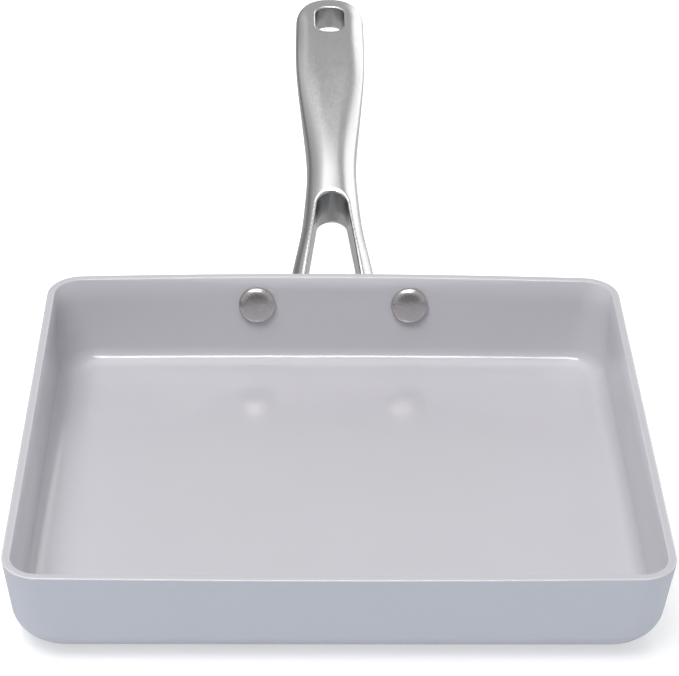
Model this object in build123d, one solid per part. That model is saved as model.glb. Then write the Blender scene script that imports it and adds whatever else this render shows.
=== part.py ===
"""Rectangular omelette pan: a pressed tub, a cast forked handle and two rivets, in millimetres.

The origin is the middle of the flat underside. X runs across the pan, Y from the front wall to the
handle, and Z up from the surface that the pan stands on.
"""
from build123d import *
import math
import os

# Tub, measured over the virtual corners of its rim
pan_width = 215.0
pan_depth = 186.0
pan_height = 37.0
wall_thickness = 2.75
floor_thickness = 3.6
side_draft_angle = 2.8
front_draft_angle = 9.0
rear_draft_angle = 7.0
front_bow = 1.1
rear_bow = 3.1
rim_corner_radius = 12.0
base_corner_radius = 18.0
base_edge_radius = 12.0
floor_edge_radius = 6.0
rim_edge_bevel = 0.35

# Rivets, set square to the rear wall
rivet_spacing = 58.2
rivet_below_rim = 11.5
rivet_head_radius = 7.0
rivet_head_height = 2.9
rivet_head_edge_height = 2.0
rivet_edge_bevel = 0.5
rivet_shank_radius = 3.2
rivet_hole_clearance = 0.05
rivet_seat_clearance = 0.02
rivet_tail_radius = 5.4
rivet_tail_height = 1.6

# Flange of the handle, which lies on the rear wall
flange_thickness = 3.4
flange_height = 18.0
flange_end_margin = 8.5
flange_below_rim = 3.2
flange_corner_radius = 8.0
flange_edge_bevel = 1.0

# Handle: places run along Y from the middle of the rear rim, heights are above the rim
handle_length = 191.0
foot_width = 35.6
neck_width = 20.0
grip_width = 29.3
foot_drop = 8.4
neck_rise = 10.4
tip_rise = 29.8
foot_depth = 11.5
crotch_depth = 15.5
grip_depth = 9.8
tip_depth = 9.2
neck_crown = 1.2
grip_dish = 0.9
flank_width = 3.8
flank_height = 3.2
foot_angle = 17.0
tip_angle = 7.0
flank_edge_bevel = 0.5
underside_bevel = 2.6
underside_edge_bevel = 0.7

# Fork gap and hanging slot
crotch_place = 55.2
crotch_radius = 6.1
leg_width = 6.05
hang_slot_width = 12.4
hang_slot_length = 20.4
hang_slot_corner_radius = 4.6
hang_slot_margin = 9.4

# Channel in the underside of the grip
channel_roof = 3.8
channel_side = 4.8
channel_corner_radius = 3.0

# Facets that round the foot of the tub and the crown of a rivet
foot_steps = 5
crown_steps = 2

# One overrun for every cut
overrun = 6.0

# Shares of the handle's length where its neck is narrowest and its grip broadest
neck_share = 0.38
grip_share = 0.775
neck_place = handle_length * neck_share
grip_place = handle_length * grip_share

# Plan of the handle: shares of the way along its legs, grip and tip, and of the change in width
leg_plan_shares = ((0.14, 0.80), (0.33, 0.55), (0.51, 0.33), (0.78, 0.10))
grip_plan_shares = ((0.33, 0.32), (0.51, 0.56), (0.69, 0.79))
tip_plan_shares = ((0.542, 0.975), (0.8, 0.89), (0.914, 0.7))

# Side view: shares of the way along, of the rise and of the change in depth, and of crown to dish
leg_view_shares = ((0.38, 0.42, 0.6), (0.76, 0.77, 1.0))
grip_view_shares = ((0.0, 0.0, 0.3, 0.3), (0.4, 0.34, 0.8, 0.85), (0.8, 0.63, 1.0, 1.0), (1.08, 0.80, 1.0, 0.7))


def slope(angle):
    """Sideways run of a drafted wall for each unit of height."""
    return math.tan(math.radians(angle))


def between(start, end, share):
    """The value at a share of the way from start to end."""
    return start + (end - start) * share


def rear_wall_place(x, z):
    """Y of the rear wall's outer face at a width and height."""
    fullness = 1 - (2 * x / pan_width) ** 2
    return pan_depth / 2 - (pan_height - z) * slope(rear_draft_angle) + rear_bow * fullness * z / pan_height


def rear_wall_plane(x, z):
    """Plane on the rear wall's outer face, with its Z axis square to the wall and outwards."""
    fullness = 1 - (2 * x / pan_width) ** 2
    across = -8 * rear_bow * x / pan_width**2 * z / pan_height
    upwards = slope(rear_draft_angle) + rear_bow * fullness / pan_height
    return Plane(origin=(x, rear_wall_place(x, z), z), x_dir=(1, across, 0), z_dir=(-across, 1, -upwards))


def tub_section(z, inset):
    """Outline of the tub at one height, moved inwards by an inset."""
    level = z / pan_height
    drop = pan_height - z
    side = pan_width / 2 - drop * slope(side_draft_angle) - inset
    front = -pan_depth / 2 + drop * slope(front_draft_angle) + inset
    rear = pan_depth / 2 - drop * slope(rear_draft_angle) - inset
    if level > 0:
        front_edge = ThreePointArc((-side, front), (0, front - front_bow * level), (side, front))
        rear_edge = ThreePointArc((side, rear), (0, rear + rear_bow * level), (-side, rear))
    else:
        front_edge = Line((-side, front), (side, front))
        rear_edge = Line((side, rear), (-side, rear))
    side_edges = [Line((side, front), (side, rear)), Line((-side, rear), (-side, front))]
    outline = make_face([front_edge, side_edges[0], rear_edge, side_edges[1]])
    corner = between(base_corner_radius, rim_corner_radius, level) - inset
    return Pos(0, 0, z) * fillet(outline.vertices(), corner)


def tub_stack(bottom, top, inset, edge_radius, lean):
    """Full block of the tub's form: a rounded foot, drafted walls and an edge that leans at the rim."""
    foot = []
    for step in range(foot_steps + 1):
        turn = math.pi / 2 * step / foot_steps
        pulled_in = edge_radius * (1 - math.sin(turn))
        foot.append(tub_section(bottom + edge_radius * (1 - math.cos(turn)), inset + pulled_in))
    bevel_start = pan_height - rim_edge_bevel
    wall = [foot[-1], tub_section(bevel_start, inset)]
    collar = [wall[-1], tub_section(top, inset + (top - bevel_start) * lean)]
    return loft(foot, ruled=True) + loft(wall, ruled=True) + loft(collar, ruled=True)


def tub_outside():
    """The tub as if it were full, with the rim's outer edge bevelled."""
    return tub_stack(0, pan_height, 0, base_edge_radius, 1)


def tub_hollow():
    """The space inside the tub, which flares at the rim's inner edge and runs on past it."""
    return tub_stack(floor_thickness, pan_height + rim_edge_bevel, wall_thickness, floor_edge_radius, -1)


def grip_side(inset):
    """Points along one side of the grip, from past the neck to the broadest place, moved inwards."""
    points = []
    for along, wide in (*grip_plan_shares, (1, 1)):
        half = between(neck_width / 2, grip_width / 2, wide) - inset
        points.append((half, between(neck_place, grip_place, along)))
    return points


def handle_outline():
    """Plan of the handle: spread legs, a narrow neck and a broad grip with a round tip."""
    half_foot, half_neck, half_grip = foot_width / 2, neck_width / 2, grip_width / 2
    side = [(between(half_foot, half_neck, -overrun / neck_place), -overrun)]
    side += [(between(half_neck, half_foot, wide), neck_place * along) for along, wide in leg_plan_shares]
    side += [(half_neck, neck_place)]
    side += grip_side(0)
    side += [(half_grip * wide, between(grip_place, handle_length, along)) for along, wide in tip_plan_shares]
    side += [(0, handle_length)]
    leg_direction = (side[2][0] - side[1][0], side[2][1] - side[1][1])
    right = Spline(*side, tangents=[leg_direction, (-1, 0)])
    left = mirror(right, about=Plane.YZ)
    return make_face([right, left, Line(left @ 0, right @ 0)])


def handle_slab():
    """Broad slab with the handle's side view: legs, a crowned neck and a dished grip."""
    rows = [(-overrun, -foot_drop - overrun * slope(foot_angle), foot_depth, neck_crown)]
    for along, rise, depth in leg_view_shares:
        top, thick = between(-foot_drop, neck_rise, rise), between(foot_depth, crotch_depth, depth)
        rows.append((neck_place * along, top, thick, neck_crown))
    for along, rise, depth, dish in grip_view_shares:
        top, thick = between(neck_rise, tip_rise, rise), between(crotch_depth, grip_depth, depth)
        rows.append((between(neck_place, grip_place, along), top, thick, between(neck_crown, -grip_dish, dish)))
    rows.append((handle_length + overrun, tip_rise + overrun * slope(tip_angle), tip_depth, 0))
    span = foot_width / 2 + overrun
    sections = []
    for place, rise, depth, crown in rows:
        sag = crown * (2 * span / neck_width) ** 2
        corners = [(-span, rise - sag), (-span, rise - depth), (span, rise - depth), (span, rise - sag)]
        top_edge = Bezier(corners[-1], (0, rise + sag), corners[0])
        section = make_face([top_edge, *Polyline(*corners).edges()])
        sections.append(Plane(origin=(0, place, 0), x_dir=(1, 0, 0), z_dir=(0, -1, 0)) * section)
    return loft(sections)


def shared_edges(faces, others):
    """Edges that lie between two groups of faces."""
    other_edges = others.edges()
    return ShapeList([edge for edge in faces.edges() if edge in other_edges])


def facing(solid, lowest, highest):
    """Long faces of the handle whose normal rises between two limits, as shares of upright."""
    faces = solid.faces().filter_by(lambda face: lowest < face.normal_at().Z < highest)
    return faces.filter_by(lambda face: abs(face.normal_at().Y) < 0.6)


def both_sides(solid, slanted, level):
    """Edges along both sides of a slanted strip: to the level face and to the upright sides."""
    return shared_edges(slanted, level) + shared_edges(slanted, facing(solid, -0.3, 0.3))


def handle_blank():
    """Full handle with sloped flanks along its top and bevelled edges below."""
    column = extrude(Pos(0, 0, -pan_height) * handle_outline(), pan_height * 3)
    blank = column & handle_slab()
    top = facing(blank, 0.7, 1.1)
    blank = chamfer(shared_edges(top, facing(blank, -0.3, 0.3)), flank_width, flank_height, reference=top[0])
    blank = chamfer(shared_edges(facing(blank, -1.1, -0.7), facing(blank, -0.3, 0.3)), underside_bevel)
    blank = chamfer(both_sides(blank, facing(blank, -0.9, -0.4), facing(blank, -1.1, -0.9)), underside_edge_bevel)
    blank = chamfer(both_sides(blank, facing(blank, 0.45, 0.9), facing(blank, 0.92, 1.1)), flank_edge_bevel)
    return Pos(0, pan_depth / 2 + rear_bow, pan_height) * blank


def fork_gap():
    """Tapered gap between the two legs, with a round arch at the crotch."""
    arch = Pos(0, crotch_place - crotch_radius) * Circle(crotch_radius)
    foot = Pos(0, -overrun) * Rectangle(foot_width - 2 * leg_width, overrun)
    return Pos(0, pan_depth / 2 + rear_bow) * extrude(make_hull(foot.edges() + arch.edges()), pan_height * 2)


def hanging_slot():
    """Rounded slot near the tip."""
    middle = pan_depth / 2 + rear_bow + handle_length - hang_slot_margin - hang_slot_length / 2
    outline = RectangleRounded(hang_slot_width, hang_slot_length, hang_slot_corner_radius)
    return Pos(0, middle) * extrude(outline, pan_height * 2)


def grip_channel():
    """Recess in the underside from neck to grip, with even walls and an even roof."""
    side = [(neck_width / 2 - channel_side, neck_place)] + grip_side(channel_side)
    right = Spline(*side, tangents=[(0, 1), (0, 1)])
    left = mirror(right, about=Plane.YZ)
    outline = make_face([right, left, Line(left @ 0, right @ 0), Line(right @ 1, left @ 1)])
    outline = fillet(outline.vertices(), channel_corner_radius)
    column = extrude(Pos(0, 0, -pan_height) * outline, pan_height * 3)
    roof = column & Pos(0, 0, -channel_roof) * handle_slab()
    return Pos(0, pan_depth / 2 + rear_bow, pan_height) * (roof + (column & Pos(0, 0, -grip_depth) * handle_slab()))


def flange(outside):
    """Saddle plate with rounded corners and a bevelled edge that lies flat on the rear wall."""
    height = pan_height - flange_below_rim - flange_height / 2
    plate = RectangleRounded(rivet_spacing + 2 * flange_end_margin, flange_height, flange_corner_radius)
    place = Plane(origin=(0, pan_depth / 2, height), x_dir=(1, 0, 0), z_dir=(0, 1, 0))
    column = extrude(place * plate, pan_height, both=True)
    saddle = (column & (Pos(0, flange_thickness, 0) * outside)) - outside
    return chamfer(saddle.faces().sort_by(Axis.Y)[-1].edges(), flange_edge_bevel)


def rivet_place(side):
    """Plane on the rear wall's outer face at one of the two rivets."""
    return rear_wall_plane(side * rivet_spacing / 2, pan_height - rivet_below_rim)


def rivet_hole(side):
    """Bore through the wall and the flange."""
    bore = Cylinder(rivet_shank_radius + rivet_hole_clearance, 2 * (wall_thickness + flange_thickness + overrun))
    return rivet_place(side) * bore


def rivet_head():
    """Round head with a domed crown and a bevelled shoulder, standing on its seat."""
    shoulder = (rivet_head_radius, rivet_head_edge_height)
    dome = ThreePointArc((-rivet_head_radius, rivet_head_edge_height), (0, rivet_head_height), shoulder)
    crown = [dome @ between(0.5, 1, step / crown_steps) for step in range(crown_steps + 1)]
    section = make_face(Polyline(*crown, (rivet_head_radius, 0), (0, 0), close=True))
    section = chamfer(section.vertices().sort_by_distance(shoulder)[0], rivet_edge_bevel)
    return revolve(Plane.XZ * section, Axis.Z)


def rivet_tail():
    """Flat set end with a bevelled edge, standing on its seat."""
    tail = Cylinder(rivet_tail_radius, rivet_tail_height, align=(Align.CENTER, Align.CENTER, Align.MIN))
    return chamfer(tail.edges().group_by(Axis.Z)[-1], rivet_edge_bevel)


def rivet(side):
    """Rivet with a broad head inside the pan and a set tail on the flange."""
    inner_seat = -wall_thickness - rivet_seat_clearance
    outer_seat = flange_thickness + rivet_seat_clearance
    shank = Cylinder(rivet_shank_radius, outer_seat - inner_seat, align=(Align.CENTER, Align.CENTER, Align.MIN))
    body = Pos(0, 0, inner_seat) * (shank + Rot(180, 0, 0) * rivet_head()) + Pos(0, 0, outer_seat) * rivet_tail()
    return rivet_place(side) * body


def pan_body(outside, hollow):
    """Tub with a bevelled rim and two rivet holes."""
    body = outside - hollow
    for side in (-1, 1):
        body = body - rivet_hole(side)
    return body


def handle(outside):
    """Forked handle with its flange, slots and rivet holes."""
    body = handle_blank() - hanging_slot() - fork_gap() - grip_channel() - outside
    body = body + flange(outside)
    for side in (-1, 1):
        body = body - rivet_hole(side)
    return body


def build():
    """All the pieces by name."""
    outside, hollow = tub_outside(), tub_hollow()
    pieces = {"pan_body": pan_body(outside, hollow), "handle": handle(outside)}
    pieces["rivet_left"], pieces["rivet_right"] = rivet(-1), rivet(1)
    return pieces


if __name__ == "__main__":
    os.makedirs("parts", exist_ok=True)
    for name, piece in build().items():
        export_step(piece, f"parts/{name}.step")
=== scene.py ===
import math

import bpy
import numpy as np
from mathutils import Matrix, Vector

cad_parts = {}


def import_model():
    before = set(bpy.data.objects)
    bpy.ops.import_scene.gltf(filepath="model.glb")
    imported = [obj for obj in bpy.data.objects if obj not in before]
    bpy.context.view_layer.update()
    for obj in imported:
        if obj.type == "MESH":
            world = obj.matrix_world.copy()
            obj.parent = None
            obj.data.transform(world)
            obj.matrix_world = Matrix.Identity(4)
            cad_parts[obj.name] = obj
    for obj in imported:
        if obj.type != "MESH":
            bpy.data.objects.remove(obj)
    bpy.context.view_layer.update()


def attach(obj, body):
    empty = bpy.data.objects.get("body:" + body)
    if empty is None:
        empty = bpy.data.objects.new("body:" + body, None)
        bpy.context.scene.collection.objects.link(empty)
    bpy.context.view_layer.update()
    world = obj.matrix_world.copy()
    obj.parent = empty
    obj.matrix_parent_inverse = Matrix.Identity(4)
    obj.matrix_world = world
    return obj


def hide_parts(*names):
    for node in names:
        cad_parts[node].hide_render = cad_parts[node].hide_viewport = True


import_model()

# Camera: place in metres, turns, focal length in pixels of a picture 679 wide, sensor in millimetres
CAMERA_PLACE = (-0.01415, -0.68634, 0.49635)
PITCH, YAW, ROLL = math.radians(31.967), math.radians(1.2296), math.radians(0.8382)
FOCAL_PIXELS, FRAME_WIDTH = 2381.0, 679.0
SENSOR_WIDTH, CLIP_NEAR, CLIP_FAR = 36.0, 0.01, 100.0

# Tub, in metres
PAN_WIDTH, PAN_DEPTH, PAN_HEIGHT = 0.215, 0.186, 0.037
WALL, FLOOR = 0.00275, 0.0036
SIDE_DRAFT, FRONT_DRAFT, REAR_DRAFT = math.radians(2.8), math.radians(9.0), math.radians(7.0)
FRONT_BOW, REAR_BOW = 0.0011, 0.0031
RIM_CORNER, BASE_CORNER, LEAST_CORNER = 0.012, 0.018, 0.001
FOOT_RADIUS, FLOOR_RADIUS, RIM_RADIUS = 0.012, 0.006, 0.00055
FLAT_MARGIN = 0.0006
CORNER_STEPS, SIDE_STEPS, FILLET_STEPS, RIM_STEPS, WALL_STEPS = 14, 16, 16, 8, 4
RIM_COAT_TURN = 0.5  # radians round the rim's outer edge, where the nonstick coat starts

# Rivets, in metres. An edge is the share of the height that a head or tail keeps at its outer edge
RIVET_SPACING, RIVET_BELOW_RIM = 0.0582, 0.0115
HEAD_RADIUS, HEAD_HEIGHT, HEAD_EDGE, HEAD_FULLNESS = 0.007, 0.0029, 0.28, 0.85
TAIL_RADIUS, TAIL_HEIGHT, TAIL_EDGE, TAIL_FULLNESS = 0.0054, 0.0016, 0.4, 0.8
SHANK_RADIUS, FLANGE = 0.0032, 0.0034
HEAD_STEPS, TAIL_STEPS, RIVET_STEPS = 18, 10, 64

# Handle, in millimetres: Y runs from the middle of the rear rim, and Z up from the rim.
# Each table gives a measure at places along Y
HANDLE_PLACE = (0.0, 96.1, 37.0)
HANDLE_LENGTH, TIP_LENGTH, TIP_FULLNESS = 191.0, 18.0, 2.2
HALF_WIDTHS = (
    (-6.0, 19.2), (10.2, 16.9), (24.0, 14.7), (37.0, 12.57), (56.6, 10.78), (72.6, 10.0),
    (97.5, 11.5), (111.0, 12.65), (124.6, 13.75), (148.0, 14.75), (173.0, 14.65), (197.0, 14.4),
)
RISES = (
    (-6.0, -10.2), (27.6, -0.5), (55.2, 6.1), (72.6, 10.4), (102.8, 17.0), (132.9, 22.6),
    (154.0, 25.9), (197.0, 30.5),
)
DEPTHS = (
    (-6.0, 11.5), (27.6, 13.9), (55.2, 15.5), (72.6, 13.8), (102.8, 10.9), (132.9, 9.8),
    (154.0, 9.9), (175.0, 10.3), (197.0, 10.0),
)
CROWNS = (
    (-6.0, 1.2), (27.6, 1.2), (55.2, 1.9), (72.6, 1.7), (102.8, 0.1), (132.9, -0.8),
    (154.0, -0.5), (197.0, 0.0),
)
CROWN_SPAN = 10.0  # a crown is the drop at this distance from the middle line
SHOULDERS = (
    (-6.0, 1.5), (40.0, 1.6), (72.6, 3.0), (102.8, 2.6), (132.9, 2.2), (154.0, 2.0),
    (175.0, 1.9), (190.0, 1.6), (197.0, 1.6),
)
FLANK_WIDTHS = (
    (-6.0, 3.8), (60.0, 3.6), (75.0, 3.4), (100.0, 4.4), (120.0, 5.2), (155.0, 5.2),
    (172.0, 4.4), (197.0, 3.2),
)
FLANK_HEIGHTS = (
    (-6.0, 3.2), (72.6, 3.2), (120.0, 3.6), (155.0, 3.6), (175.0, 2.8), (185.0, 1.7), (197.0, 1.0),
)
FLANK_ROUND, UNDERSIDE_ROUND, EDGE_ROUND, CAST_FILLET = 1.5, 4.5, 1.2, 3.0
GAP_HALF, GAP_ARCH, GAP_END, GAP_ROUND = 11.75, 6.1, 55.2, 1.4
SLOT_HALF, SLOT_LENGTH, SLOT_CORNER, SLOT_MARGIN, SLOT_ROUND = 6.2, 20.4, 5.6, 9.4, 0.6
CHANNEL_ROOF, CHANNEL_SIDE, CHANNEL_ROUND, CHANNEL_END_ROUND = 3.8, 4.8, 2.0, 3.0
CHANNEL_RUN = (72.6, 148.0)
FLANGE_THICK, FLANGE_HALF, FLANGE_HEIGHT, FLANGE_BELOW, FLANGE_CORNER = 3.4, 37.6, 18.0, 3.2, 8.0
BORE_RADIUS = 3.25

# Grid that the handle's skin is taken from, in millimetres, and how its points settle on the skin
GRID_LOW, GRID_HIGH, GRID_STEP = (-39.1, -5.4, -23.3), (39.1, 193.0, 33.0), 0.6
SETTLE_PASSES, NUDGE, LEAST_RATE = 3, 0.01, 0.05

# Colours as linear light
COAT_INSIDE, COAT_INSIDE_ROUGH, COAT_INSIDE_PEEL = (0.62, 0.61, 0.65), 0.15, 0.00001
COAT_OUTSIDE, COAT_OUTSIDE_ROUGH, COAT_OUTSIDE_PEEL = (0.43, 0.452, 0.515), 0.42, 0.00003
STEEL, STEEL_ROUGH, STEEL_GRAIN = (0.59, 0.59, 0.59), 0.22, 0.000012
RIVET_STEEL, RIVET_ROUGH, RIVET_GRAIN = (0.55, 0.53, 0.52), 0.24, 0.000004

# Procedural detail: scale, detail and roughness of each noise, and how far it changes a surface
CLOUDS, SPECKS, PEEL = (22.0, 3.0, 0.5), (2400.0, 2.0, 0.7), (700.0, 2.0, 0.5)
CLOUD_SHADES, SPECK_SHADE, SPECK_RANGE = (0.985, 1.015), 0.93, (0.62, 0.78)
GRAIN, TARNISH, TARNISH_SHADES = (2400.0, 3.0, 0.6), (60.0, 3.0, 0.5), (0.96, 1.04)
BRUSHED, ROUND_GRAIN = 0.06, 1.0  # scale of the grain along Y
ROUGH_RANGE, COAT_ROUGH_SPREAD, STEEL_ROUGH_SPREAD = (0.3, 0.7), (-0.02, 0.03), (-0.04, 0.05)

# Sockets of the Mix node for colours
COLOUR_A, COLOUR_B, COLOUR_RESULT = 6, 7, 2

# Sweep under the pan: metres, tone in the picture, a much darker tone seen only in reflections (painted
# shade in what the steel reflects), and a mirror layer
SWEEP_HALF, SWEEP_DROP = 4.0, 0.0002
SWEEP_TONE, SWEEP_PAINTED_REFLECTION_SHADE, SWEEP_ROUGH = 0.80, 0.12, 0.5
MIRROR_SHARE, MIRROR_ROUGH = 0.2, 0.03
# Its glow in the picture rises away from a centre near the front wall, where shade is to stay
GLOW_CENTRE, GLOW_REACH, GLOW_LEVELS, GLOW_MIRRORED = (0.0, -0.15, 0.0), (0.15, 0.38), (0.6, 1.0), 0.33

# Lamps: name, place, target, width, height and watts. The key strip only shines in reflections,
# and the others are left out of them
KEY_STRIP = ("key_strip", (-0.2, -0.79, 1.28), (0.0, 0.0, 0.0), 0.9, 0.2, 10.0)
SOFT_LAMPS = (
    ("top_softbox", (-0.3, -0.34, 1.45), (0.0, 0.0, 0.03), 0.9, 0.85, 17.0),
    ("left_fill", (-1.3, -0.75, 0.05), (0.0, 0.0, 0.03), 0.7, 0.09, 10.5),
    ("right_fill", (1.3, -0.75, 0.05), (0.0, 0.0, 0.03), 0.7, 0.09, 10.0),
    ("rear_fill", (0.3, 1.4, 0.7), (0.0, 0.0, 0.03), 1.0, 0.6, 6.0),
)

# Panels of the studio in reflections: direction, inner and outer cosine, and brightness added
PANELS = (
    ((-0.15, 0.05, 0.97), 0.87, 0.805, 1.8),
    ((0.554, 0.791, 0.259), 0.951, 0.883, 1.2),
    ((-0.73, 0.66, 0.17), 0.96, 0.8, -0.3),
    ((-0.5, 0.7, 0.5), 0.99, 0.93, 0.35),
    ((0.0, -1.0, 0.12), 0.978, 0.82, -0.35),
)
PANEL_BASE, DIFFUSE_SKY = 0.54, 0.22


def link(tree, a, b):
    tree.links.new(a, b)


def new_material(name):
    material = bpy.data.materials.new(name)
    material.use_nodes = True
    tree = material.node_tree
    tree.nodes.clear()
    output = tree.nodes.new("ShaderNodeOutputMaterial")
    shader = tree.nodes.new("ShaderNodeBsdfPrincipled")
    link(tree, shader.outputs["BSDF"], output.inputs["Surface"])
    return material, tree, shader


def object_place(tree):
    return tree.nodes.new("ShaderNodeTexCoord").outputs["Object"]


def noise(tree, vector, scale, detail, roughness):
    node = tree.nodes.new("ShaderNodeTexNoise")
    node.inputs["Scale"].default_value = scale
    node.inputs["Detail"].default_value = detail
    node.inputs["Roughness"].default_value = roughness
    link(tree, vector, node.inputs["Vector"])
    return node.outputs["Fac"]


def ramp(tree, value, low, high, low_value=0.0, high_value=1.0, smooth=True):
    node = tree.nodes.new("ShaderNodeMapRange")
    node.interpolation_type = "SMOOTHSTEP" if smooth else "LINEAR"
    node.inputs["From Min"].default_value = low
    node.inputs["From Max"].default_value = high
    node.inputs["To Min"].default_value = low_value
    node.inputs["To Max"].default_value = high_value
    link(tree, value, node.inputs["Value"])
    return node.outputs["Result"]


def math_node(tree, operation, a, b):
    node = tree.nodes.new("ShaderNodeMath")
    node.operation = operation
    for slot, value in zip(node.inputs, (a, b)):
        if isinstance(value, (int, float)):
            slot.default_value = value
        else:
            link(tree, value, slot)
    return node.outputs[0]


def mix_colour(tree, factor, a, b):
    """Colour between a and b, each a colour or another node's output."""
    node = tree.nodes.new("ShaderNodeMix")
    node.data_type = "RGBA"
    for slot, value in ((node.inputs[COLOUR_A], a), (node.inputs[COLOUR_B], b)):
        if isinstance(value, tuple):
            slot.default_value = (*value, 1.0)
        else:
            link(tree, value, slot)
    link(tree, factor, node.inputs[0])
    return node.outputs[COLOUR_RESULT]


def shade(colour, share):
    return tuple(share * c for c in colour)


def spread(rough, changes):
    return [rough + change for change in changes]


def bump(tree, shader, height, distance):
    node = tree.nodes.new("ShaderNodeBump")
    node.inputs["Distance"].default_value = distance
    node.inputs["Strength"].default_value = 1.0
    link(tree, height, node.inputs["Height"])
    link(tree, node.outputs["Normal"], shader.inputs["Normal"])


def coat(name, colour, rough, peel):
    """Sprayed coat: a satin skin with a faint orange peel, small specks and soft cloudy shades."""
    material, tree, shader = new_material(name)
    place = object_place(tree)
    clouds = noise(tree, place, *CLOUDS)
    specks = noise(tree, place, *SPECKS)
    tone = mix_colour(tree, clouds, *[shade(colour, share) for share in CLOUD_SHADES])
    tone = mix_colour(tree, ramp(tree, specks, *SPECK_RANGE), tone, shade(colour, SPECK_SHADE))
    link(tree, tone, shader.inputs["Base Color"])
    roughness = ramp(tree, clouds, *ROUGH_RANGE, *spread(rough, COAT_ROUGH_SPREAD))
    link(tree, roughness, shader.inputs["Roughness"])
    bump(tree, shader, noise(tree, place, *PEEL), peel)
    return material


def satin_steel(name, colour, rough, depth, stretch):
    """Stainless steel with a fine grain, which a stretch under 1 draws out into brush lines."""
    material, tree, shader = new_material(name)
    place = object_place(tree)
    mapping = tree.nodes.new("ShaderNodeMapping")
    mapping.inputs["Scale"].default_value = (1.0, stretch, 1.0)
    link(tree, place, mapping.inputs["Vector"])
    grain = noise(tree, mapping.outputs["Vector"], *GRAIN)
    tarnish = noise(tree, place, *TARNISH)
    tone = mix_colour(tree, tarnish, *[shade(colour, share) for share in TARNISH_SHADES])
    link(tree, tone, shader.inputs["Base Color"])
    shader.inputs["Metallic"].default_value = 1.0
    roughness = ramp(tree, grain, *ROUGH_RANGE, *spread(rough, STEEL_ROUGH_SPREAD))
    link(tree, roughness, shader.inputs["Roughness"])
    bump(tree, shader, grain, depth)
    return material


def between(start, end, share):
    return start + (end - start) * share


def quarter_turn(steps):
    return [math.pi / 2 * step / steps for step in range(steps + 1)]


def ring(z, inset):
    """Points round the tub at one height, moved inwards from its drafted walls."""
    level, drop = z / PAN_HEIGHT, PAN_HEIGHT - z
    side = PAN_WIDTH / 2 - drop * math.tan(SIDE_DRAFT) - inset
    front = -PAN_DEPTH / 2 + drop * math.tan(FRONT_DRAFT) + inset
    rear = PAN_DEPTH / 2 - drop * math.tan(REAR_DRAFT) - inset
    radius = max(between(BASE_CORNER, RIM_CORNER, level) - inset, LEAST_CORNER)
    centres = ((side - radius, rear - radius), (-side + radius, rear - radius))
    centres += ((-side + radius, front + radius), (side - radius, front + radius))
    outline = []
    for quarter, (x, y) in enumerate(centres):
        for step in range(CORNER_STEPS + 1):
            turn = math.pi / 2 * (quarter + step / CORNER_STEPS)
            outline.append(Vector((x + radius * math.cos(turn), y + radius * math.sin(turn), z)))
        x, y = centres[(quarter + 1) % 4]
        turn = math.pi / 2 * (quarter + 1)
        following = Vector((x + radius * math.cos(turn), y + radius * math.sin(turn), z))
        last = outline[-1]
        outline += [last.lerp(following, step / SIDE_STEPS) for step in range(1, SIDE_STEPS)]
    for point in outline:
        fullness = (1 - (point.x / side) ** 2) * level
        point.y += REAR_BOW * fullness if point.y > 0 else -FRONT_BOW * fullness
    return outline


def fillet_steps(radius):
    """Rise and inset round a fillet, from flat to upright."""
    turns = quarter_turn(FILLET_STEPS)
    return [(radius * (1 - math.cos(t)), radius * (1 - math.sin(t))) for t in turns]


def tub_profile():
    """Height, inset and coat of each ring, from under the foot, over the rim, to the floor."""
    top, low = PAN_HEIGHT - RIM_RADIUS, FLOOR + FLOOR_RADIUS
    shares = [step / WALL_STEPS for step in range(1, WALL_STEPS)]
    under = [(0, FOOT_RADIUS + FLAT_MARGIN, 0)]
    foot = [(rise, inset, 0) for rise, inset in fillet_steps(FOOT_RADIUS)]
    wall = [(between(FOOT_RADIUS, top, share), 0, 0) for share in shares]
    rim = [
        (top + RIM_RADIUS * math.sin(t), RIM_RADIUS * (1 - math.cos(t)), int(t > RIM_COAT_TURN))
        for t in quarter_turn(RIM_STEPS)
    ]
    lip = [(z, WALL - inset, 1) for z, inset, _ in reversed(rim)]
    inner = [(between(top, low, share), WALL, 1) for share in shares]
    crease = [(FLOOR + rise, WALL + inset, 1) for rise, inset in reversed(fillet_steps(FLOOR_RADIUS))]
    floor_edge = [(FLOOR, WALL + FLOOR_RADIUS + FLAT_MARGIN, 1)]
    return under + foot + wall + rim + lip + inner + crease + floor_edge


def mesh_object(name, points, faces, materials, kinds=None):
    mesh = bpy.data.meshes.new(name)
    mesh.from_pydata(points, [], faces)
    for material in materials:
        mesh.materials.append(material)
    if kinds:
        mesh.polygons.foreach_set("material_index", kinds)
    mesh.polygons.foreach_set("use_smooth", [True] * len(mesh.polygons))
    mesh.update()
    thing = bpy.data.objects.new(name, mesh)
    bpy.context.scene.collection.objects.link(thing)
    return thing


def skin(rings):
    """Points and quads that join rings of equal length, one after another."""
    count = len(rings[0])
    points = [point for outline in rings for point in outline]
    faces = []
    for row in range(len(rings) - 1):
        for k in range(count):
            a, b = row * count + k, row * count + (k + 1) % count
            faces.append((a, b, b + count, a + count))
    return points, faces


def tub():
    """Tub with a rounded foot, drafted walls that bow front and rear, and a soft rim."""
    profile = tub_profile()
    points, faces = skin([ring(z, inset) for z, inset, _ in profile])
    count = len(points) // len(profile)
    kinds = [profile[row + 1][2] for row in range(len(profile) - 1) for _ in range(count)]
    faces.append(tuple(reversed(range(count))))
    faces.append(tuple(range(len(points) - count, len(points))))
    kinds += [0, 1]
    materials = [
        coat("outer_coat", COAT_OUTSIDE, COAT_OUTSIDE_ROUGH, COAT_OUTSIDE_PEEL),
        coat("inner_coat", COAT_INSIDE, COAT_INSIDE_ROUGH, COAT_INSIDE_PEEL),
    ]
    thing = mesh_object("tub", points, faces, materials, kinds)
    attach(thing, "root")
    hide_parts("pan_body")


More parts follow.
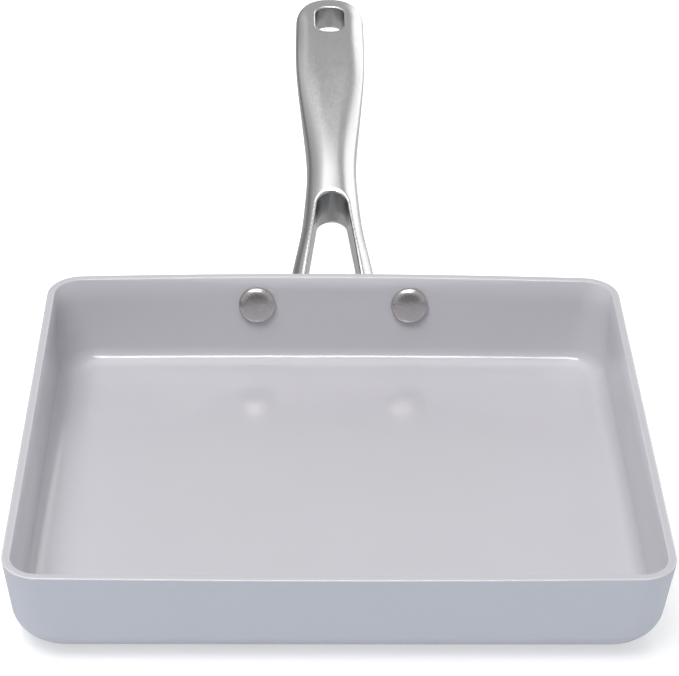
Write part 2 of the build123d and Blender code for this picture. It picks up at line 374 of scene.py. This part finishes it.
def rivet_frame(side):
    """Place and axes on the rear wall's outer face, with Z square to the wall and outwards."""
    x, z = side * RIVET_SPACING / 2, PAN_HEIGHT - RIVET_BELOW_RIM
    fullness = 1 - (2 * x / PAN_WIDTH) ** 2
    bow = REAR_BOW * fullness * z / PAN_HEIGHT
    y = PAN_DEPTH / 2 - (PAN_HEIGHT - z) * math.tan(REAR_DRAFT) + bow
    across = -8 * REAR_BOW * x / PAN_WIDTH**2 * z / PAN_HEIGHT
    out = Vector((-across, 1, -math.tan(REAR_DRAFT) - REAR_BOW * fullness / PAN_HEIGHT)).normalized()
    right = Vector((1, across, 0)).normalized()
    turn = Matrix((right, out.cross(right), out)).transposed().to_4x4()
    return Matrix.Translation((x, y, z)) @ turn


def rivet_profile():
    """Radius and place along the axis, from the crown of the head to the middle of the tail."""
    dome = []
    for turn in quarter_turn(HEAD_STEPS):
        swell = between(HEAD_EDGE, 1, math.cos(turn) ** HEAD_FULLNESS)
        dome.append((HEAD_RADIUS * math.sin(turn), -WALL - HEAD_HEIGHT * swell))
    dome += [(HEAD_RADIUS, -WALL), (SHANK_RADIUS, -WALL), (SHANK_RADIUS, FLANGE), (TAIL_RADIUS, FLANGE)]
    tail = []
    for turn in quarter_turn(TAIL_STEPS):
        swell = between(TAIL_EDGE, 1, math.sin(turn) ** TAIL_FULLNESS)
        tail.append((TAIL_RADIUS * math.cos(turn), FLANGE + TAIL_HEIGHT * swell))
    return dome + tail


def rivet(side, name, material):
    """Set rivet with a button head inside the pan, turned about its own axis."""
    profile = rivet_profile()
    place = rivet_frame(side)
    angles = [2 * math.pi * k / RIVET_STEPS for k in range(RIVET_STEPS)]
    rings = []
    for radius, along in profile[1:-1]:
        rings.append([place @ Vector((radius * math.cos(a), radius * math.sin(a), along)) for a in angles])
    points, faces = skin(rings)
    crown, end = len(points), len(points) + 1
    last = len(points) - RIVET_STEPS
    points += [place @ Vector((0, 0, profile[0][1])), place @ Vector((0, 0, profile[-1][1]))]
    for k in range(RIVET_STEPS):
        after = (k + 1) % RIVET_STEPS
        faces.append((crown, after, k))
        faces.append((end, last + k, last + after))
    thing = mesh_object(name + "_turned", points, faces, [material])
    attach(thing, "root")
    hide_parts(name)


def smooth_curve(table, at):
    """Natural cubic spline through a table of places and values."""
    places, values = np.array(table).T
    gaps, steps = np.diff(places), np.diff(values)
    count = len(places)
    system, right = np.eye(count), np.zeros(count)
    for k in range(1, count - 1):
        system[k, k - 1:k + 2] = gaps[k - 1], 2 * (gaps[k - 1] + gaps[k]), gaps[k]
        right[k] = 6 * (steps[k] / gaps[k] - steps[k - 1] / gaps[k - 1])
    bend = np.linalg.solve(system, right)
    at = np.clip(at, places[0], places[-1])
    k = np.clip(np.searchsorted(places, at) - 1, 0, count - 2)
    low, high, gap = at - places[k], places[k + 1] - at, gaps[k]
    curved = (bend[k] * high**3 + bend[k + 1] * low**3) / (6 * gap)
    before, after = values[k] / gap - bend[k] * gap / 6, values[k + 1] / gap - bend[k + 1] * gap / 6
    return curved + before * high + after * low


def both(a, b, blend):
    """Inside both forms, with their shared edge rounded over a blend."""
    near = np.maximum(blend - np.abs(a - b), 0) / blend
    return np.maximum(a, b) + near**2 * blend / 4


def rounded_box(x, y, half_x, half_y, corner):
    """Distance from a rectangle with round corners."""
    a, b = np.abs(x) - half_x + corner, np.abs(y) - half_y + corner
    return np.minimum(np.maximum(a, b), 0) + np.hypot(np.maximum(a, 0), np.maximum(b, 0)) - corner


def fork_gap_distance(x, y):
    """Distance from the tapered gap between the legs, which ends in a round arch."""
    centre = GAP_END - GAP_ARCH
    reach = math.hypot(GAP_HALF, centre)
    lean = math.atan2(GAP_HALF, centre) - math.asin(GAP_ARCH / reach)
    out_x, out_y = math.cos(lean), math.sin(lean)
    side = (np.abs(x) - GAP_HALF) * out_x + y * out_y
    arch = np.hypot(x, y - centre) - GAP_ARCH
    beyond = -np.abs(x) * out_y + (y - centre) * out_x > 0
    return np.where(beyond, arch, side)


def wall_distance(x, y, z):
    """Distance outwards from the rear wall's outer face."""
    level = (z + HANDLE_PLACE[2]) / HANDLE_PLACE[2]
    fullness = 1 - (x / (500 * PAN_WIDTH)) ** 2
    flat = 1000 * (PAN_DEPTH / 2) + z * math.tan(REAR_DRAFT)
    face = flat + 1000 * REAR_BOW * fullness * level - HANDLE_PLACE[1]
    return (y - face) * math.cos(REAR_DRAFT)


def bore_distance(side, x, y, z):
    """Distance from the axis of a rivet."""
    place = rivet_frame(side)
    origin, axis = 1000 * place.translation - Vector(HANDLE_PLACE), place.col[2].to_3d()
    along = (x - origin.x) * axis.x + (y - origin.y) * axis.y + (z - origin.z) * axis.z
    apart = [value - start - along * part for value, start, part in zip((x, y, z), origin, axis)]
    return np.sqrt(apart[0] ** 2 + apart[1] ** 2 + apart[2] ** 2)


def handle_distance(x, y, z):
    """Rough distance from the cast handle's skin, negative inside."""
    half, rise = smooth_curve(HALF_WIDTHS, y), smooth_curve(RISES, y)
    past = np.maximum(y - HANDLE_LENGTH + TIP_LENGTH, 0) / TIP_LENGTH
    reach = ((np.abs(x) / half) ** TIP_FULLNESS + past**TIP_FULLNESS) ** (1 / TIP_FULLNESS)
    plan = (reach - 1) * half
    top = z - rise + smooth_curve(CROWNS, y) * (x / CROWN_SPAN) ** 2
    under = rise - smooth_curve(DEPTHS, y) - z
    wide, high = smooth_curve(FLANK_WIDTHS, y), smooth_curve(FLANK_HEIGHTS, y)
    flank = (high * plan + wide * top + wide * high) / np.hypot(wide, high)
    body = both(both(plan, flank, FLANK_ROUND), top, smooth_curve(SHOULDERS, y))
    body = both(body, under, UNDERSIDE_ROUND)

    ends = np.maximum(CHANNEL_RUN[0] - y, y - CHANNEL_RUN[1])
    channel = both(np.abs(x) - half + CHANNEL_SIDE, ends, CHANNEL_END_ROUND)
    body = both(body, -both(channel, top + CHANNEL_ROOF, CHANNEL_ROUND), EDGE_ROUND)
    middle = HANDLE_LENGTH - SLOT_MARGIN - SLOT_LENGTH / 2
    slot = rounded_box(x, y - middle, SLOT_HALF, SLOT_LENGTH / 2, SLOT_CORNER)
    body = both(body, -slot, SLOT_ROUND)
    body = both(body, -fork_gap_distance(x, y), GAP_ROUND)

    height = z + FLANGE_BELOW + FLANGE_HEIGHT / 2
    wall = wall_distance(x, y, z)
    plate = rounded_box(x, height, FLANGE_HALF, FLANGE_HEIGHT / 2, FLANGE_CORNER)
    plate = both(plate, wall - FLANGE_THICK, EDGE_ROUND)
    body = -both(-body, -plate, CAST_FILLET)
    for side in (-1, 1):
        body = np.maximum(body, BORE_RADIUS - bore_distance(side, x, y, z))
    return np.maximum(body, -wall)


def surface_net(field):
    """Points, in steps of the grid, and quads of the skin between inside and outside."""
    inside = field < 0
    cells = tuple(n - 1 for n in field.shape)
    corners = [tuple(slice(o, o + n) for o, n in zip(offset, cells)) for offset in np.ndindex(2, 2, 2)]
    count = sum(inside[corner].astype(np.int8) for corner in corners)
    active = np.argwhere((count > 0) & (count < 8))
    number = np.full(cells, -1)
    number[tuple(active.T)] = np.arange(len(active))
    total, crossings = np.zeros((len(active), 3)), np.zeros((len(active), 1))
    for axis in range(3):
        step = np.eye(3, dtype=int)[axis]
        for a, b in np.ndindex(2, 2):
            start = np.zeros(3, dtype=int)
            start[(axis + 1) % 3], start[(axis + 2) % 3] = a, b
            here, there = field[tuple((active + start).T)], field[tuple((active + start + step).T)]
            crosses = (here < 0) != (there < 0)
            share = np.where(crosses, here / np.where(crosses, here - there, 1), 0)
            total += crosses[:, None] * (start + share[:, None] * step)
            crossings += crosses[:, None]
    points = active + total / crossings
    quads = []
    for axis in range(3):
        u, v = np.eye(3, dtype=int)[[(axis + 1) % 3, (axis + 2) % 3]]
        span = [slice(None)] * 3
        span[axis] = slice(None, -1)
        low = inside[tuple(span)]
        span[axis] = slice(1, None)
        changed = np.argwhere(low != inside[tuple(span)])
        outwards = low[tuple(changed.T)]
        shifts = (0 * u, u, u + v, v)
        quad = np.stack([number[tuple((changed - shift).T)] for shift in shifts], axis=1)
        quads += [quad[outwards], quad[~outwards][:, ::-1]]
    return points, np.concatenate(quads)


def settle(points):
    """Points moved onto the exact skin."""
    for _ in range(SETTLE_PASSES):
        value = handle_distance(*points.T)
        rate = np.empty_like(points)
        for axis in range(3):
            nudge = NUDGE * np.eye(3)[axis]
            ahead, behind = handle_distance(*(points + nudge).T), handle_distance(*(points - nudge).T)
            rate[:, axis] = (ahead - behind) / (2 * NUDGE)
        move = -value[:, None] * rate / np.maximum((rate**2).sum(axis=1, keepdims=True), LEAST_RATE)
        points = points + np.clip(move, -GRID_STEP / 2, GRID_STEP / 2)
    return points


def cast_handle():
    """Cast handle: soft shoulders, a crowned neck, a dished grip and a filleted flange."""
    axes = [np.arange(low, high, GRID_STEP) for low, high in zip(GRID_LOW, GRID_HIGH)]
    field = handle_distance(*np.meshgrid(*axes, indexing="ij"))
    points, quads = surface_net(field)
    points = settle(np.array(GRID_LOW) + GRID_STEP * points)
    points = (points + HANDLE_PLACE) / 1000
    material = satin_steel("handle_steel", STEEL, STEEL_ROUGH, STEEL_GRAIN, BRUSHED)
    thing = mesh_object("cast_handle", points.tolist(), quads.tolist(), [material])
    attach(thing, "root")
    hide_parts("handle")


def floor():
    """Pale glossy sweep: white to the camera, grey where the pan shades it, and a much darker tone in
    reflections, which paints shade into what the steel reflects.
    """
    half = SWEEP_HALF
    corners = [(-half, -half, 0), (half, -half, 0), (half, half, 0), (-half, half, 0)]
    material, tree, shader = new_material("floor_white")
    shader.inputs["Roughness"].default_value = SWEEP_ROUGH
    output = next(n for n in tree.nodes if n.bl_idname == "ShaderNodeOutputMaterial")
    path = tree.nodes.new("ShaderNodeLightPath")
    # A far darker tone for glossy rays paints shade into the steel's reflections of the sweep
    tone = ramp(tree, path.outputs["Is Glossy Ray"], 0, 1, SWEEP_TONE, SWEEP_PAINTED_REFLECTION_SHADE, smooth=False)
    link(tree, tone, shader.inputs["Base Color"])

    away = tree.nodes.new("ShaderNodeVectorMath")
    away.operation = "DISTANCE"
    away.inputs[1].default_value = GLOW_CENTRE
    link(tree, object_place(tree), away.inputs[0])
    bright = ramp(tree, away.outputs["Value"], *GLOW_REACH, *GLOW_LEVELS)
    direct = math_node(tree, "MULTIPLY", path.outputs["Is Camera Ray"], bright)
    mirrored = math_node(tree, "MULTIPLY", path.outputs["Is Glossy Ray"], GLOW_MIRRORED)
    glow = tree.nodes.new("ShaderNodeEmission")
    link(tree, math_node(tree, "ADD", direct, mirrored), glow.inputs["Strength"])

    lit = tree.nodes.new("ShaderNodeAddShader")
    link(tree, shader.outputs["BSDF"], lit.inputs[0])
    link(tree, glow.outputs["Emission"], lit.inputs[1])
    mirror = tree.nodes.new("ShaderNodeBsdfGlossy")
    mirror.inputs["Roughness"].default_value = MIRROR_ROUGH
    mixed = tree.nodes.new("ShaderNodeMixShader")
    mixed.inputs[0].default_value = MIRROR_SHARE
    link(tree, lit.outputs["Shader"], mixed.inputs[1])
    link(tree, mirror.outputs["BSDF"], mixed.inputs[2])
    link(tree, mixed.outputs["Shader"], output.inputs["Surface"])
    thing = mesh_object("floor", corners, [(0, 1, 2, 3)], [material])
    thing.location.z = -SWEEP_DROP


def lamp(name, place, target, width, height, power):
    data = bpy.data.lights.new(name, "AREA")
    data.shape = "RECTANGLE"
    data.size = width
    data.size_y = height
    data.energy = power
    thing = bpy.data.objects.new(name, data)
    bpy.context.scene.collection.objects.link(thing)
    thing.location = place
    thing.rotation_euler = (Vector(target) - Vector(place)).to_track_quat("-Z", "Y").to_euler()
    return thing


def world():
    """White to the camera, soft even light on everything, and a studio of panels in reflections."""
    made = bpy.data.worlds.new("studio")
    bpy.context.scene.world = made
    made.use_nodes = True
    tree = made.node_tree
    tree.nodes.clear()
    output = tree.nodes.new("ShaderNodeOutputWorld")
    sky = tree.nodes.new("ShaderNodeBackground")
    sky.inputs["Color"].default_value = (1.0, 1.0, 1.0, 1.0)
    path = tree.nodes.new("ShaderNodeLightPath")
    direction = tree.nodes.new("ShaderNodeTexCoord").outputs["Generated"]
    total = PANEL_BASE
    for axis, inner, outer, gain in PANELS:
        dot = tree.nodes.new("ShaderNodeVectorMath")
        dot.operation = "DOT_PRODUCT"
        dot.inputs[1].default_value = Vector(axis).normalized()
        link(tree, direction, dot.inputs[0])
        patch = ramp(tree, dot.outputs["Value"], outer, inner, 0.0, gain)
        total = math_node(tree, "ADD", total, patch)
    plain = math_node(tree, "MAXIMUM", path.outputs["Is Camera Ray"], path.outputs["Is Transmission Ray"])
    plain = math_node(tree, "MULTIPLY", plain, 1.0 - DIFFUSE_SKY)
    studio = math_node(tree, "SUBTRACT", total, DIFFUSE_SKY)
    shiny = math_node(tree, "MULTIPLY", path.outputs["Is Glossy Ray"], studio)
    strength = math_node(tree, "ADD", math_node(tree, "ADD", DIFFUSE_SKY, plain), shiny)
    link(tree, strength, sky.inputs["Strength"])
    link(tree, sky.outputs["Background"], output.inputs["Surface"])


def camera():
    """Camera at the photograph's place, fitted to the rim, floor and wall edges."""
    data = bpy.data.cameras.new("camera")
    thing = bpy.data.objects.new("camera", data)
    bpy.context.scene.collection.objects.link(thing)
    forward = Vector((math.sin(YAW) * math.cos(PITCH), math.cos(YAW) * math.cos(PITCH), -math.sin(PITCH)))
    level = Vector((math.cos(YAW), -math.sin(YAW), 0.0))
    upright = level.cross(forward)
    right = math.cos(ROLL) * level + math.sin(ROLL) * upright
    up = -math.sin(ROLL) * level + math.cos(ROLL) * upright
    turn = Matrix((right, up, -forward)).transposed().to_4x4()
    thing.matrix_world = Matrix.Translation(CAMERA_PLACE) @ turn
    data.sensor_fit = "HORIZONTAL"
    data.sensor_width = SENSOR_WIDTH
    data.lens = FOCAL_PIXELS * data.sensor_width / FRAME_WIDTH
    data.clip_start = CLIP_NEAR
    data.clip_end = CLIP_FAR
    data.dof.use_dof = False
    bpy.context.scene.camera = thing


tub()
rivet_steel = satin_steel("rivet_steel", RIVET_STEEL, RIVET_ROUGH, RIVET_GRAIN, ROUND_GRAIN)
rivet(-1, "rivet_left", rivet_steel)
rivet(1, "rivet_right", rivet_steel)
cast_handle()
floor()
lamp(*KEY_STRIP).visible_diffuse = False
for soft_lamp in SOFT_LAMPS:
    lamp(*soft_lamp).visible_glossy = False
world()
camera()

bpy.context.scene.view_settings.view_transform = "Standard"
